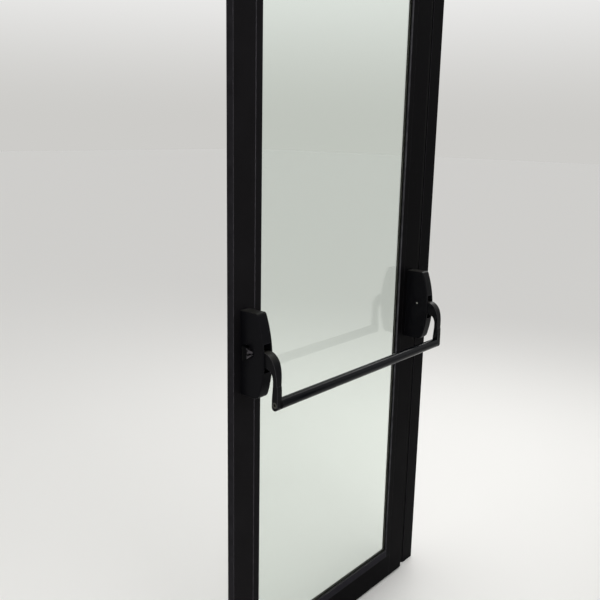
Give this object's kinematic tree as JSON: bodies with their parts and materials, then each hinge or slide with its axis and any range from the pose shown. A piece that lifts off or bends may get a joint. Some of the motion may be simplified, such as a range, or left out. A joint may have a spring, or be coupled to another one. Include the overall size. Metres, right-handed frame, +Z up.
{
  "type": "glass door",
  "caption": "Black aluminium-framed glass door leaf with a push-bar panic latch, hinged in its own door frame and standing open at a right angle.",
  "frame": {"origin": "on the floor, in the middle of the box round the door frame and the leaf as it stands open at a right angle", "axes": "+Z up; X across the doorway, from the hinge jamb at -X to the strike jamb at +X; +Y from the open leaf's lock edge towards the door frame, that is from the pull side to the push side of the doorway"},
  "size_m": [1.002, 1, 2.259],
  "materials": {
    "black_profile": "satin powder coat",
    "black_hinge": "satin powder coat",
    "black_casting": "satin paint",
    "black_tube": "smooth semi-gloss paint",
    "clear_glass": "clear, polished",
    "black_rubber": "matt",
    "black_plastic": "matt",
    "cast_aluminium": "as cast",
    "zinc_steel": "zinc plated",
    "bright_steel": "nickel plated",
    "black_screws": "black oxide"
  },
  "bodies": {
    "frame": {"hinge_jamb": "black_profile", "strike_jamb": "black_profile", "head": "black_profile", "frame_corner_cleats": "cast_aluminium", "hinge_jamb_seal": "black_rubber", "strike_jamb_seal": "black_rubber", "head_seal": "black_rubber", "strike_plate": "bright_steel", "strike_screws": "bright_steel", "hinge_jamb_screws": "black_screws", "bottom_hinge_jamb_wing": "black_hinge", "middle_hinge_jamb_wing": "black_hinge", "top_hinge_jamb_wing": "black_hinge", "bottom_hinge_pin": "bright_steel", "middle_hinge_pin": "bright_steel", "top_hinge_pin": "bright_steel"},
    "leaf": {"lock_stile": "black_profile", "hinge_stile": "black_profile", "top_rail": "black_profile", "bottom_rail": "black_profile", "lock_bead": "black_profile", "hinge_bead": "black_profile", "top_bead": "black_profile", "bottom_bead": "black_profile", "bottom_hinge_leaf_wing": "black_hinge", "middle_hinge_leaf_wing": "black_hinge", "top_hinge_leaf_wing": "black_hinge", "hinge_case_cover": "black_casting", "lock_case_cover": "black_casting", "glass": "clear_glass", "outer_gasket": "black_rubber", "inner_gasket": "black_rubber", "stile_end_plugs": "black_plastic", "setting_blocks": "black_plastic", "rail_cleats": "cast_aluminium", "hinge_case_base": "zinc_steel", "lock_case_base": "zinc_steel", "latch_guide_rod": "zinc_steel", "slider_guide_screw": "zinc_steel", "return_spring": "zinc_steel", "latch_spring": "zinc_steel", "tie_bolts": "zinc_steel", "case_screws": "zinc_steel", "hinge_arm_axle": "bright_steel", "lock_arm_axle": "bright_steel", "hinge_leaf_screws": "black_screws", "cover_screws": "black_screws"},
    "bar": {"hinge_arm": "black_casting", "lock_arm": "black_casting", "push_bar": "black_tube", "push_bar_plugs": "black_plastic", "push_bar_screws": "bright_steel"},
    "slider": {"slider": "zinc_steel"},
    "latch": {"latch_bolt": "bright_steel", "drive_pin": "zinc_steel"}
  },
  "joints": [
    {"name": "leaf_hinge", "type": "hinge", "parent": "frame", "child": "leaf", "pos_m": [-0.453, 0.403, 1.108], "axis": [0, 0, 1], "range_deg": [-20, 90]},
    {"name": "bar_push", "type": "hinge", "parent": "leaf", "child": "bar", "pos_m": [-0.376, -0.05, 1.081], "axis": [0, 1, 0], "range_deg": [0, 15], "stiffness_Nm_per_rad": 6, "springref_deg": -20.05},
    {"name": "slider_lift", "type": "slide", "parent": "leaf", "child": "slider", "axis": [0, 0, 1], "range_m": [0, 0.00777], "deforming": ["return_spring"]},
    {"name": "latch_slide", "type": "slide", "parent": "leaf", "child": "latch", "axis": [0, 1, 0], "range_m": [0, 0.011], "deforming": ["latch_spring"]}
  ],
  "couplings": [
    {"joint": "slider_lift", "follows": "bar_push", "m_per_rad": 0.029658},
    {"joint": "latch_slide", "follows": "bar_push", "m_per_rad": 0.042016}
  ]
}
